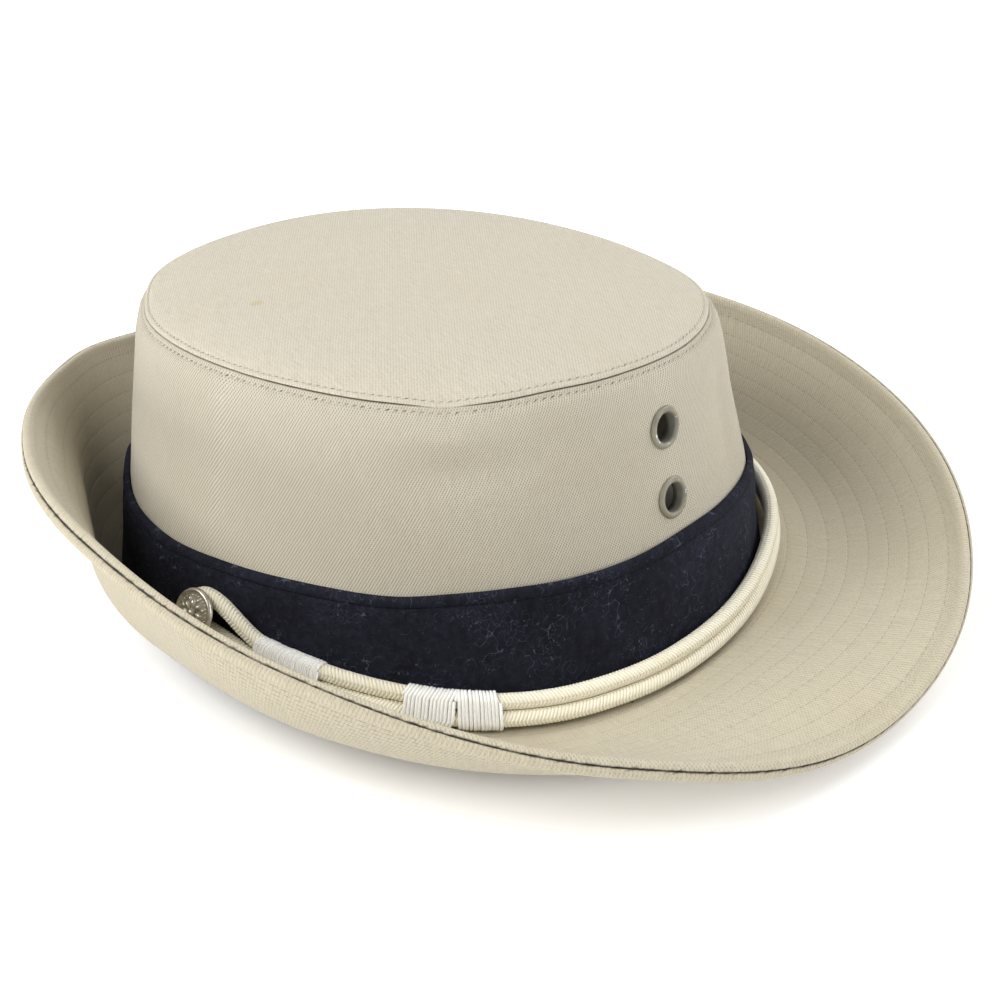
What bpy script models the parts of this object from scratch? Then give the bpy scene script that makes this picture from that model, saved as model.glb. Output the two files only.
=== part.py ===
# A khaki cotton slouch hat of a police pattern: crown, wool band, doubled cord, button, eyelets and brim.
# Metres, +Z up, the floor at Z = 0. A heading is an angle seen from above: 0 is the -Y end, 90 is +X.

import math

import bmesh
import bpy
from mathutils import Matrix, Vector

MM = 0.001

# Crown: half sizes of its oval where the band's top edge runs, and at the seam round the tip
BAND_LINE_HALF_LENGTH = 94.0 * MM
BAND_LINE_HALF_WIDTH = 91.5 * MM
BAND_LINE_SQUARENESS = 2.12
TIP_HALF_LENGTH = 88.5 * MM
TIP_HALF_WIDTH = 74.0 * MM
TIP_SQUARENESS = 2.22
TIP_SHIFT = 4.5 * MM
BAND_LINE_HEIGHT = 41.0 * MM
SIDE_HEIGHT = 48.8 * MM
SIDE_BULGE = 2.4 * MM
FOOT_FLARE = 0.6
DOME_RISE = 5.2 * MM
CROWN_CLOTH = 1.6 * MM
TIP_CLOTH = 1.6 * MM
TIP_EDGE_ROUND = 1.2 * MM

# Band, brim and the gap left between pieces that touch
BAND_CLOTH = 1.8 * MM
BRIM_WIDTH = 66.0 * MM
BRIM_CLOTH = 2.1 * MM
PIECE_GAP = 0.3 * MM
EDGE_ROUND = 0.6 * MM

# Cord and its bindings, by the headings they run between
CORD_DIAMETER = 4.5 * MM
CORD_LAY = 1.2 * MM
CORD_LIFT = 5.5 * MM
CORD_END_HEADING = 198.0
BINDING_WALL = 0.4 * MM
BINDING_EASE = 0.46 * MM
BINDINGS = {
    "whipping_long": (283.5, 294.5),
    "whipping_left": (307.5, 315.1),
    "whipping_right": (315.4, 322.0),
    "whipping_end": (188.0, 194.5),
}

# Button on the band, and the two eyelets in the crown's side
BUTTON_DIAMETER = 14.2 * MM
BUTTON_THICKNESS = 2.6 * MM
BUTTON_HEADING = 273.0
BUTTON_TIP = 10.0
SHANK_DIAMETER = 4.0 * MM
SHANK_SLACK = 0.4 * MM
EYELET_DIAMETER = 13.0 * MM
EYELET_BORE = 8.4 * MM
EYELET_WALL = 0.6 * MM
EYELET_ROLL = 1.2 * MM
EYELET_SEAT = 0.5 * MM
EYELET_HEADING = 359.1
EYELET_LEVELS = {"eyelet_upper": 0.66, "eyelet_lower": 0.245}

HEADINGS = 60
CORD_SIDES = 8
BUTTON_SEGMENTS = 24
EYELET_SEGMENTS = 18

# The brim's foot and slopes, one row for each 30 degrees: the foot's height over the floor as a share
# of the brim's width, and the cloth's slope in degrees at the foot, half way out and at the outer edge
BRIM_COLUMNS = ("heading", "foot_rise", "foot_slope", "middle_slope", "edge_slope")
BRIM_ROWS = (
    (0, 0.008, 22, 7, -15),
    (30, 0.156, -8, 10, 39),
    (60, 0.165, -2, 22, 66),
    (90, 0.139, 12, 36, 70),
    (120, 0.087, 19, 51, 76),
    (150, 0.030, 12, 46, 80),
    (180, 0.034, 18, 49, 80),
    (210, 0.077, 15, 80, 63),
    (240, 0.137, 29, 87, 21),
    (270, 0.197, 10, 68, 50),
    (300, 0.131, 4, 41, 76),
    (330, 0.050, -10, 25, 35),
)

# How far out along the brim's cloth its facets change, as shares of its width
BRIM_STOPS = (0.02, 0.045, 0.16, 0.35, 0.56, 0.78)

# The crown's side between the band's top edge, level 0, and the tip's seam, level 1
SIDE_COLUMNS = ("level", "bulge")
SIDE_ROWS = ((1.0, 0.0), (0.96, 0.75), (0.86, 0.95), (0.5, 0.4), (0.0, 0.0))

# The tip's rings, as shares of its oval, and how much of the dome's rise each one has
TIP_COLUMNS = ("share", "rise")
TIP_ROWS = ((0.28, 1.0), (0.55, 0.93), (0.8, 0.72), (0.93, 0.35), (1.0, 0.0))

# The cord by degrees from the button: its lift over the brim as a share of CORD_LIFT, how far its two
# strands spread as a share of the way from touching to clearing the shank, and how much they are laid
CORD_COLUMNS = ("turn", "lift", "spread", "lay")
CORD_ROWS = (
    (0, 1.0, 1.0, 0.0),
    (3, 1.0, 0.9, 0.0),
    (5, 0.9, 0.6, 0.2),
    (8, 0.68, 0.2, 0.5),
    (11, 0.52, 0.0, 1.0),
    (22, 0.3, 0.0, 1.0),
    (30, 0.12, 0.0, 1.0),
    (40, 0.0, 0.0, 1.0),
    (72, 0.0, 0.0, 1.0),
    (96, 0.0, 0.0, 0.4),
    (116, 0.0, 0.0, 0.0),
    (360, 0.0, 0.0, 0.0),
)

# The button's outline turned round its shank: radius as a share of the head's, height as a share of
# its thickness over the head's back
BUTTON_COLUMNS = ("radius", "height")
BUTTON_ROWS = ((0.0, 1.0), (0.42, 0.93), (0.8, 0.64), (0.88, 0.78), (0.96, 0.7), (1.0, 0.5), (0.97, 0.2), (0.88, 0.0))

# The eyelet's rolled flange: radius as a share of the way from bore to outer edge, height of the roll
ROLL_COLUMNS = ("radius", "height")
ROLL_ROWS = ((0.0, 0.55), (0.2, 1.0), (0.55, 1.0), (0.9, 0.6), (1.0, 0.0))

BRIM_STEPS = 12
REST_STEPS = 8
BRIM_HALF = BRIM_CLOTH + PIECE_GAP / 2
CORD_RADIUS = CORD_DIAMETER / 2
BAND_FACE = PIECE_GAP + BAND_CLOTH
CORD_REST = CORD_RADIUS + BINDING_EASE + BINDING_WALL + PIECE_GAP


def clear_scene():
    for item in list(bpy.data.objects):
        bpy.data.objects.remove(item, do_unlink=True)


def make_material(name, colour, roughness, metallic=0.0):
    material = bpy.data.materials.new(name)
    material.use_nodes = True
    shader = material.node_tree.nodes["Principled BSDF"]
    shader.inputs["Base Color"].default_value = (*colour, 1.0)
    shader.inputs["Roughness"].default_value = roughness
    shader.inputs["Metallic"].default_value = metallic
    return material


def smooth_row(column, heading):
    """The brim table's value at any heading, on a smooth closed curve through its rows."""
    index = BRIM_COLUMNS.index(column)
    values = [row[index] for row in BRIM_ROWS]
    place = (heading % 360.0) * len(values) / 360.0
    row = int(place)
    t = place - row
    before, start, end, after = (values[(row + step) % len(values)] for step in (-1, 0, 1, 2))
    linear = end - before
    square = 2 * before - 5 * start + 4 * end - after
    cube = 3 * start - before - 3 * end + after
    return 0.5 * (2 * start + linear * t + square * t * t + cube * t ** 3)


def oval(half_length, half_width, squareness, heading):
    angle = math.radians(heading)
    across = math.sin(angle)
    along = math.cos(angle)
    power = 2.0 / squareness
    x = half_width * math.copysign(abs(across) ** power, across)
    y = -half_length * math.copysign(abs(along) ** power, along)
    return Vector((x, y))


def band_oval(heading):
    return oval(BAND_LINE_HALF_LENGTH, BAND_LINE_HALF_WIDTH, BAND_LINE_SQUARENESS, heading)


def tip_oval(heading):
    return oval(TIP_HALF_LENGTH, TIP_HALF_WIDTH, TIP_SQUARENESS, heading) + Vector((0.0, TIP_SHIFT))


def foot_oval(heading):
    flare = FOOT_FLARE * (BAND_LINE_HEIGHT - smooth_row("foot_rise", heading) * BRIM_WIDTH) / SIDE_HEIGHT
    band = band_oval(heading)
    return band + (band - tip_oval(heading)) * flare


def outward(heading):
    """The level direction square to the crown's foot, pointing away from the crown."""
    along = foot_oval(heading + 1.0) - foot_oval(heading - 1.0)
    return Vector((along.y, -along.x)).normalized()


def brim_slope(heading, distance):
    """The cloth's slope at a distance along it, on the curve through the table's three slopes."""
    share = distance / BRIM_WIDTH
    foot, middle, edge = (math.radians(smooth_row(column, heading)) for column in BRIM_COLUMNS[2:])
    return foot * (1 - share) * (1 - 2 * share) + 4 * middle * share * (1 - share) + edge * share * (2 * share - 1)


def brim_section(heading, distance, lift):
    """Reach from the foot line and height, for a distance along the cloth and a lift square to it."""
    step = distance / BRIM_STEPS
    slopes = [brim_slope(heading, (number + 0.5) * step) for number in range(BRIM_STEPS)]
    reach = step * sum(math.cos(slope) for slope in slopes)
    rise = step * sum(math.sin(slope) for slope in slopes) + smooth_row("foot_rise", heading) * BRIM_WIDTH
    here = brim_slope(heading, distance)
    pressed = max(0.0, BRIM_HALF * math.cos(here) - rise)
    return reach - lift * math.sin(here), max(0.0, rise + lift * math.cos(here) + pressed)


def brim_point(heading, distance, lift):
    reach, height = brim_section(heading, distance, lift)
    place = foot_oval(heading) + outward(heading) * reach
    return Vector((place.x, place.y, height))


def brim_top_height(heading, reach, gap):
    """Height of a level gap over the brim's upper cloth at a reach from the foot line."""
    distance = reach / math.cos(brim_slope(heading, 0.0))
    for _ in range(4):
        found, height = brim_section(heading, distance, BRIM_HALF)
        distance += (reach - found) / math.cos(brim_slope(heading, distance))
    found, height = brim_section(heading, distance, BRIM_HALF)
    return height + gap / math.cos(brim_slope(heading, distance))


def rest_height(heading, reach, radius):
    """Height at which a level bar of a radius lies on the brim's facets, at a reach from the foot line."""
    points = [brim_section(heading, BRIM_WIDTH * share, BRIM_HALF) for share in (0.0, *BRIM_STOPS)]
    heights = []
    for (near, low), (far, high) in zip(points, points[1:]):
        for step in range(REST_STEPS + 1):
            share = step / REST_STEPS
            apart = near + (far - near) * share - reach
            if abs(apart) < radius:
                heights.append(low + (high - low) * share + math.sqrt(radius * radius - apart * apart))
    return max(heights)


def side_point(heading, level, bulge, inset):
    """A point of the crown's side: level -1 is the foot, 0 the band's top edge and 1 the tip's seam."""
    away = outward(heading)
    band = band_oval(heading)
    if level < 0.0:
        place = band + (foot_oval(heading) - band) * -level
        low = brim_top_height(heading, -inset, PIECE_GAP)
        height = BAND_LINE_HEIGHT + (low - BAND_LINE_HEIGHT) * -level
    else:
        place = band + (tip_oval(heading) - band) * level
        height = BAND_LINE_HEIGHT + SIDE_HEIGHT * level
    place = place + away * (bulge * SIDE_BULGE - inset)
    return Vector((place.x, place.y, height))


def ring(point_at):
    return [point_at(360.0 * step / HEADINGS) for step in range(HEADINGS)]


def strip(bm, first, second):
    for step in range(len(first)):
        following = (step + 1) % len(first)
        bm.faces.new((first[step], first[following], second[following]))
        bm.faces.new((first[step], second[following], second[step]))


def skins(name, near, far, edge, material, middles=None):
    """Two facing skins cut into the same triangles, joined along both borders or at two middles."""
    bm = bmesh.new()
    near, far, edge = ([[bm.verts.new(point) for point in points] for points in rings] for rings in (near, far, edge))
    for rows in (near, far, [near[-1], *edge, far[-1]]):
        for first, second in zip(rows, rows[1:]):
            strip(bm, first, second)
    if middles:
        for row, middle in zip((near[0], far[0]), middles):
            centre = bm.verts.new(middle)
            for step in range(len(row)):
                bm.faces.new((row[step], row[(step + 1) % len(row)], centre))
    else:
        strip(bm, near[0], far[0])
    return finish_mesh(name, bm, material)


def finish_mesh(name, bm, material):
    bmesh.ops.recalc_face_normals(bm, faces=bm.faces)
    mesh = bpy.data.meshes.new(name)
    bm.to_mesh(mesh)
    bm.free()
    mesh.shade_smooth()
    mesh.set_sharp_from_angle(angle=math.radians(35))
    mesh.materials.append(material)
    item = bpy.data.objects.new(name, mesh)
    bpy.context.scene.collection.objects.link(item)
    return item


def turned(name, profile, material, segments, frame):
    """A profile of (radius, height) points turned round Z and set into a frame."""
    bm = bmesh.new()
    verts = [bm.verts.new((radius, 0.0, height)) for radius, height in profile]
    edges = [bm.edges.new(pair) for pair in zip(verts, verts[1:])]
    if profile[0][0] > 0.0:
        edges.append(bm.edges.new((verts[-1], verts[0])))
    turn = {"cent": (0, 0, 0), "axis": (0, 0, 1), "angle": math.tau, "steps": segments}
    bmesh.ops.spin(bm, geom=verts + edges, use_merge=True, **turn)
    bmesh.ops.remove_doubles(bm, verts=bm.verts, dist=0.01 * MM)
    bmesh.ops.transform(bm, matrix=frame, verts=bm.verts)
    return finish_mesh(name, bm, material)


def swept(name, path, radius, sides, material):
    """A round bar along a path, closed flat at both ends."""
    bm = bmesh.new()
    normal = Vector((0.0, 0.0, 1.0))
    rows = []
    for place, point in enumerate(path):
        along = (path[min(place + 1, len(path) - 1)] - path[max(place - 1, 0)]).normalized()
        normal = (normal - along * normal.dot(along)).normalized()
        across = along.cross(normal)
        angles = [math.tau * side / sides for side in range(sides)]
        row = [point + (normal * math.cos(angle) + across * math.sin(angle)) * radius for angle in angles]
        rows.append([bm.verts.new(corner) for corner in row])
    for first, second in zip(rows, rows[1:]):
        strip(bm, first, second)
    bm.faces.new(rows[0])
    bm.faces.new(rows[-1])
    return finish_mesh(name, bm, material)


def table_value(rows, column, place):
    """The value in a table's column at a place between the rows' first entries."""
    for low, high in zip(rows, rows[1:]):
        if low[0] <= place <= high[0]:
            share = (place - low[0]) / (high[0] - low[0])
            return low[column] + (high[column] - low[column]) * share
    return rows[-1][column]


def bulged_point(heading, level):
    bulge = table_value(SIDE_ROWS[::-1], SIDE_COLUMNS.index("bulge"), level)
    return side_point(heading, level, bulge, 0.0)


def side_frame(heading, level):
    """A frame on the crown's side whose Z axis points straight out of the cloth."""
    below, here, above = (bulged_point(heading, level + step) for step in (-0.05, 0.0, 0.05))
    up = (above - below).normalized()
    away = outward(heading).to_3d()
    out = (away - up * away.dot(up)).normalized()
    return set_frame(up.cross(out), up, out, here)


def set_frame(side, up, out, place):
    frame = Matrix((side, up, out)).transposed().to_4x4()
    frame.translation = place
    return frame


def build_crown_side(material):
    def skin(inset):
        rows = [ring(lambda h: side_point(h, level, bulge, inset)) for level, bulge in SIDE_ROWS]
        return rows + [ring(lambda h: side_point(h, -1.0, 0.0, inset))]

    side = skins("crown_side", skin(0.0), skin(CROWN_CLOTH), [], material)
    radius = EYELET_BORE / 2 + EYELET_WALL + PIECE_GAP
    reach = 4 * CROWN_CLOTH
    outline = ((0.0, -reach), (radius, -reach), (radius, reach), (0.0, reach))
    for name, level in EYELET_LEVELS.items():
        cutter = turned(name + "_hole", outline, material, EYELET_SEGMENTS, side_frame(EYELET_HEADING, level))
        cutter.hide_render = True
        cutter.display_type = "WIRE"
        cut = side.modifiers.new(name, "BOOLEAN")
        cut.object = cutter
        cut.operation = "DIFFERENCE"
        cut.solver = "EXACT"


def build_tip(material):
    seam = BAND_LINE_HEIGHT + SIDE_HEIGHT + PIECE_GAP
    centre = Vector((0.0, TIP_SHIFT))

    def tip_ring(share, rise, lift):
        def point_at(heading):
            place = centre + (tip_oval(heading) - centre) * share
            return Vector((place.x, place.y, seam + DOME_RISE * rise + lift))

        return ring(point_at)

    inset = TIP_EDGE_ROUND / TIP_HALF_WIDTH
    under = [tip_ring(share, rise, 0.0) for share, rise in TIP_ROWS]
    over = [tip_ring(share, rise, TIP_CLOTH) for share, rise in TIP_ROWS[:-1]]
    over.append(tip_ring(1.0 - inset, 0.0, TIP_CLOTH))
    edge = [tip_ring(1.0, 0.0, TIP_CLOTH - TIP_EDGE_ROUND)]
    low = Vector((0.0, TIP_SHIFT, seam + DOME_RISE))
    high = low + Vector((0.0, 0.0, TIP_CLOTH))
    skins("crown_tip", under, over, edge, material, middles=(low, high))


def build_brim_layer(name, low, high, material):
    """One cloth of the brim between two lifts, with its outer edge rounded."""
    stops = [-CROWN_CLOTH] + [BRIM_WIDTH * share for share in BRIM_STOPS] + [BRIM_WIDTH - EDGE_ROUND]
    under = [ring(lambda h: brim_point(h, stop, low)) for stop in stops]
    over = [ring(lambda h: brim_point(h, stop, high)) for stop in stops]
    edge = [ring(lambda h: brim_point(h, BRIM_WIDTH, lift)) for lift in (low + EDGE_ROUND, high - EDGE_ROUND)]
    skins(name, under, over, edge, material)


def band_point(heading, level, offset):
    """A point outside the crown's side: level -1 stands on the brim and 0 is the band's top edge."""
    place = side_point(heading, level, 0.0, -offset)
    low = brim_top_height(heading, offset, PIECE_GAP)
    place.z = BAND_LINE_HEIGHT + (low - BAND_LINE_HEIGHT) * -level
    return place


def build_band(material):
    inner = [ring(lambda h: band_point(h, level, PIECE_GAP)) for level in (-1.0, 0.0)]
    outer = [ring(lambda h: band_point(h, level, BAND_FACE)) for level in (-1.0, -0.03)]
    edge = [ring(lambda h: band_point(h, 0.0, BAND_FACE - EDGE_ROUND))]
    skins("hat_band", inner, outer, edge, material)


def on_band(heading, height, offset):
    """A point off the band's face at a height over the floor."""
    foot = brim_top_height(heading, BAND_FACE, PIECE_GAP)
    level = (BAND_LINE_HEIGHT - height) / (BAND_LINE_HEIGHT - foot)
    place = band_point(heading, -level, BAND_FACE + offset)
    place.z = height
    return place


def cord_strands(heading):
    """Where the cord's lower and upper strand run at a heading."""
    turn = (heading - BUTTON_HEADING) % 360.0
    lift, spread, lay = (
        table_value(CORD_ROWS, CORD_COLUMNS.index(column), turn) for column in ("lift", "spread", "lay")
    )
    away = outward(heading).to_3d()
    height = rest_height(heading, BAND_FACE + CORD_REST, CORD_REST)
    for _ in range(6):
        lower = on_band(heading, height, CORD_REST + CORD_LAY * lay)
        reach = (lower - foot_oval(heading).to_3d()).dot(away)
        height = rest_height(heading, reach, CORD_REST) + CORD_LIFT * lift
        lower.z = height
    apart = CORD_DIAMETER + PIECE_GAP + (SHANK_DIAMETER + PIECE_GAP + 2 * SHANK_SLACK) * spread
    upper = lower + Vector((0.0, 0.0, apart))
    for _ in range(4):
        upper = on_band(heading, upper.z, CORD_REST)
        level = (upper - lower).to_2d().length
        upper.z = height + math.sqrt(apart * apart - level * level)
    return lower, upper


def build_cord(material):
    """One cord doubled over the button's shank, both halves laid round the band to the back."""
    near = [BUTTON_HEADING + 3.0 * step for step in range(18)]
    first = 6 * math.ceil((near[-1] + 3.0) / 6)
    far = [float(heading) for heading in range(first, int(CORD_END_HEADING) + 361, 6)]
    pairs = [cord_strands(heading) for heading in near + far]
    low, high = pairs[0]
    centre = (low.z + high.z) / 2
    radius = (high.z - low.z) / 2
    per_metre = 2.0 / (foot_oval(BUTTON_HEADING + 1.0) - foot_oval(BUTTON_HEADING - 1.0)).length
    bight = []
    for angle in (240, 210, 180, 150, 120):
        along = radius * math.cos(math.radians(angle))
        height = centre + radius * math.sin(math.radians(angle))
        bight.append(on_band(BUTTON_HEADING + along * per_metre, height, CORD_REST))
    path = [lower for lower, upper in reversed(pairs)] + bight + [upper for lower, upper in pairs]
    swept("hat_cord", path, CORD_RADIUS, CORD_SIDES, material)


def build_binding(name, start, end, material):
    """A short sleeve of wound floss holding the cord's two strands together."""

    def sleeve(clear):
        rows = []
        for step in range(3):
            heading = start + (end - start) * step / 2
            lower, upper = cord_strands(heading)
            away = outward(heading).to_3d()
            up = (upper - lower).normalized()
            across = (away - up * away.dot(up)).normalized()
            row = []
            for centre, turn in ((lower, math.pi), (upper, 0.0)):
                for side in range(6):
                    angle = turn + math.pi * side / 5
                    row.append(centre + (across * math.cos(angle) + up * math.sin(angle)) * (CORD_RADIUS + clear))
            rows.append(row)
        return rows

    skins(name, sleeve(BINDING_EASE), sleeve(BINDING_EASE + BINDING_WALL), [], material)


def build_button(material):
    lower, upper = cord_strands(BUTTON_HEADING)
    height = (lower.z + upper.z) / 2
    middle = on_band(BUTTON_HEADING, height, CORD_REST)
    up = (on_band(BUTTON_HEADING, height + MM, 0.0) - on_band(BUTTON_HEADING, height - MM, 0.0)).normalized()
    away = outward(BUTTON_HEADING).to_3d()
    out = (away - up * away.dot(up)).normalized()
    frame = set_frame(up.cross(out), up, out, middle) @ Matrix.Rotation(math.radians(-BUTTON_TIP), 4, "X")
    radius = BUTTON_DIAMETER / 2
    back = CORD_RADIUS + PIECE_GAP + radius * math.sin(math.radians(BUTTON_TIP))
    foot = -CORD_RADIUS - BINDING_WALL
    outline = [(radius * share, back + BUTTON_THICKNESS * rise) for share, rise in BUTTON_ROWS]
    outline += [(SHANK_DIAMETER / 2, back), (SHANK_DIAMETER / 2, foot), (0.0, foot)]
    turned("button", outline, material, BUTTON_SEGMENTS, frame)


def build_eyelets(material):
    bore = EYELET_BORE / 2
    outer = EYELET_DIAMETER / 2
    back = CROWN_CLOTH + PIECE_GAP + EYELET_SEAT
    outline = [(bore, -back - EYELET_WALL)]
    outline += [(bore + (outer - bore) * share, PIECE_GAP + EYELET_ROLL * rise) for share, rise in ROLL_ROWS]
    outline += [(bore + EYELET_WALL, PIECE_GAP), (bore + EYELET_WALL, -back)]
    outline += [(outer - EYELET_WALL, -back), (outer - EYELET_WALL, -back - EYELET_WALL)]
    for name, level in EYELET_LEVELS.items():
        turned(name, outline, material, EYELET_SEGMENTS, side_frame(EYELET_HEADING, level))


def centre_on_floor():
    """Moves every piece so that the middle of the hat's box, seen from above, is the origin."""
    shown = [item for item in bpy.data.objects if not item.hide_render]
    points = [vert.co for item in shown for vert in item.data.vertices]
    middle = [-(min(point[axis] for point in points) + max(point[axis] for point in points)) / 2 for axis in (0, 1)]
    shift = Matrix.Translation((middle[0], middle[1], -min(point.z for point in points)))
    for item in bpy.data.objects:
        item.data.transform(shift)


def main():
    clear_scene()
    khaki = make_material("khaki_cotton", (0.50, 0.44, 0.33), 0.9)
    navy = make_material("navy_wool", (0.02, 0.025, 0.05), 0.95)
    cream = make_material("cream_cord", (0.78, 0.74, 0.62), 0.7)
    white = make_material("white_floss", (0.85, 0.85, 0.83), 0.5)
    nickel = make_material("nickel_plate", (0.62, 0.60, 0.56), 0.3, 1.0)
    painted = make_material("painted_metal", (0.36, 0.33, 0.25), 0.45, 0.6)
    build_crown_side(khaki)
    build_tip(khaki)
    build_brim_layer("brim_top", PIECE_GAP / 2, BRIM_HALF, khaki)
    build_brim_layer("brim_under", -BRIM_HALF, -PIECE_GAP / 2, khaki)
    build_band(navy)
    build_cord(cream)
    for name, (start, end) in BINDINGS.items():
        build_binding(name, start, end, white)
    build_button(nickel)
    build_eyelets(painted)
    centre_on_floor()


main()
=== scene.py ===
import math
import random
from functools import cache

import bmesh
import bpy
from mathutils import Matrix, Vector, noise


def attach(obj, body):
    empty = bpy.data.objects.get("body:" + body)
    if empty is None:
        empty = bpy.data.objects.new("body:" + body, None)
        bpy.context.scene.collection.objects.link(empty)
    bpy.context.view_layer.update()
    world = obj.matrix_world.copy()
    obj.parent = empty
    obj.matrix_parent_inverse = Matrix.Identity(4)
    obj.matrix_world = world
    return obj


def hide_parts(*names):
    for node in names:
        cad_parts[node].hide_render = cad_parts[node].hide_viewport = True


mm = 0.001
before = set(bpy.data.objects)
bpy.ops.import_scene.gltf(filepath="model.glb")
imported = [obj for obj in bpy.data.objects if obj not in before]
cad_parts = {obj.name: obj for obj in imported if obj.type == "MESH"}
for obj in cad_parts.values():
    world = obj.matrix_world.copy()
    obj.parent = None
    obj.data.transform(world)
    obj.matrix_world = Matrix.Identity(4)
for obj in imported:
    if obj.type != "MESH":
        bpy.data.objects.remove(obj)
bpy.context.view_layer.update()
random.seed(7)
print("frame loaded")

# The hat's own sizes, the same as its solids have, in metres
hat = {
    "shift": Vector((-6.896 * mm, 12.780 * mm, 0.0)),
    "bandLine": (94.0 * mm, 91.5 * mm, 2.12),
    "tip": (88.5 * mm, 74.0 * mm, 2.22),
    "tipShift": 4.5 * mm,
    "bandLineHeight": 41.0 * mm,
    "sideHeight": 48.8 * mm,
    "sideBulge": 2.4 * mm,
    "footFlare": 0.6,
    "crownCloth": 1.6 * mm,
    "tipCloth": 1.6 * mm,
    "domeRise": 5.2 * mm,
    "bandCloth": 1.8 * mm,
    "brimWidth": 66.0 * mm,
    "brimCloth": 2.1 * mm,
    "gap": 0.3 * mm,
    "cordRadius": 2.25 * mm,
    "cordRest": 3.41 * mm,
    "cordLift": 5.5 * mm,
    "cordLay": 1.2 * mm,
    "cordEnd": 198.0,
}
brimHalf = hat["brimCloth"] + hat["gap"] / 2
bandFace = hat["gap"] + hat["bandCloth"]

# The brim every 30 degrees from the eyelets round by +X: how high its foot is, as a share of its width,
# and its slope at the foot, half way out and at the edge
brimRows = {
    "rise": (0.008, 0.156, 0.165, 0.139, 0.087, 0.030, 0.034, 0.077, 0.137, 0.197, 0.131, 0.050),
    "footSlope": (22, -8, -2, 12, 19, 12, 18, 15, 29, 10, 4, -10),
    "middleSlope": (7, 10, 22, 36, 51, 46, 49, 80, 87, 68, 41, 25),
    "edgeSlope": (-15, 39, 66, 70, 76, 80, 80, 63, 21, 50, 76, 35),
}


# a smooth curve through four values or points, between the middle two
def curveAt(before, start, end, after, t):
    linear = end - before
    square = 2 * before - 5 * start + 4 * end - after
    cube = 3 * start - before - 3 * end + after
    return 0.5 * (2 * start + linear * t + square * t * t + cube * t ** 3)


@cache
def smoothRow(name, heading):
    values = brimRows[name]
    place = (heading % 360.0) * len(values) / 360.0
    row = int(place)
    around = (values[(row + step) % len(values)] for step in (-1, 0, 1, 2))
    return curveAt(*around, place - row)


def bell(value, middle, width):
    return math.exp(-((value - middle) / width) ** 2)


def turnBell(heading, middle, width):
    return bell((heading - middle + 180.0) % 360.0 - 180.0, 0.0, width)


def ease(value, low, high):
    t = min(1.0, max(0.0, (value - low) / (high - low)))
    return t * t * (3 - 2 * t)


def tableValue(rows, column, place):
    for low, high in zip(rows, rows[1:]):
        if low[0] <= place <= high[0]:
            share = (place - low[0]) / (high[0] - low[0])
            return low[column] + (high[column] - low[column]) * share
    return rows[-1][column]


def smoothed(rows, place, spread):
    steps = (-spread, -spread / 2, 0.0, spread / 2, spread)
    return sum(tableValue(rows, 1, min(1.0, max(0.0, place + step))) for step in steps) / len(steps)


# the sum of soft bumps, each with its heading, its width in degrees and its size
def bumps(rows, heading):
    return sum(turnBell(heading, middle, width) * size for middle, width, size in rows)


# how far a rolled edge has fallen away at a distance from its end
def rollFall(fromEnd, roll):
    return roll - math.sqrt(max(0.0, roll * roll - (roll - fromEnd) ** 2)) if fromEnd < roll else 0.0


def spaced(start, end, count):
    return [start + (end - start) * step / count for step in range(count + 1)]


def oval(sizes, heading):
    halfLength, halfWidth, squareness = sizes
    angle = math.radians(heading)
    power = 2.0 / squareness
    x = halfWidth * math.copysign(abs(math.sin(angle)) ** power, math.sin(angle))
    y = -halfLength * math.copysign(abs(math.cos(angle)) ** power, math.cos(angle))
    return Vector((x, y))


@cache
def bandOval(heading):
    return oval(hat["bandLine"], heading)


@cache
def tipOval(heading):
    return oval(hat["tip"], heading) + Vector((0.0, hat["tipShift"]))


@cache
def footOval(heading):
    low = hat["bandLineHeight"] - smoothRow("rise", heading) * hat["brimWidth"]
    band = bandOval(heading)
    return band + (band - tipOval(heading)) * (hat["footFlare"] * low / hat["sideHeight"])


@cache
def outward(heading):
    along = footOval(heading + 1.0) - footOval(heading - 1.0)
    return Vector((along.y, -along.x)).normalized()


def brimSlope(heading, distance):
    share = distance / hat["brimWidth"]
    foot, middle, edge = (smoothRow(name, heading) for name in ("footSlope", "middleSlope", "edgeSlope"))
    slope = foot * (1 - share) * (1 - 2 * share) + 4 * middle * share * (1 - share)
    return math.radians(slope + edge * share * (2 * share - 1))


@cache
def brimMiddle(heading, distance):
    step = distance / 12
    slopes = [brimSlope(heading, (number + 0.5) * step) for number in range(12)]
    here = brimSlope(heading, distance)
    rise = smoothRow("rise", heading) * hat["brimWidth"] + step * sum(math.sin(slope) for slope in slopes)
    rise = max(rise, brimHalf * math.cos(here))
    return step * sum(math.cos(slope) for slope in slopes), rise, here


def brimSection(heading, distance, lift):
    reach, rise, here = brimMiddle(heading, distance)
    return reach - lift * math.sin(here), max(0.0, rise + lift * math.cos(here)), here


def brimTopHeight(heading, reach, gap):
    distance = reach / math.cos(brimSlope(heading, 0.0))
    for step in range(5):
        found, height, here = brimSection(heading, distance, brimHalf)
        distance += (reach - found) / math.cos(here)
    return height + gap / math.cos(here)


def restHeight(heading, reach, radius):
    heights = []
    for step in range(40):
        found, height, here = brimSection(heading, step * 0.5 * mm, brimHalf)
        if abs(found - reach) < radius:
            heights.append(height + math.sqrt(radius * radius - (found - reach) ** 2))
    return max(heights)


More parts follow.
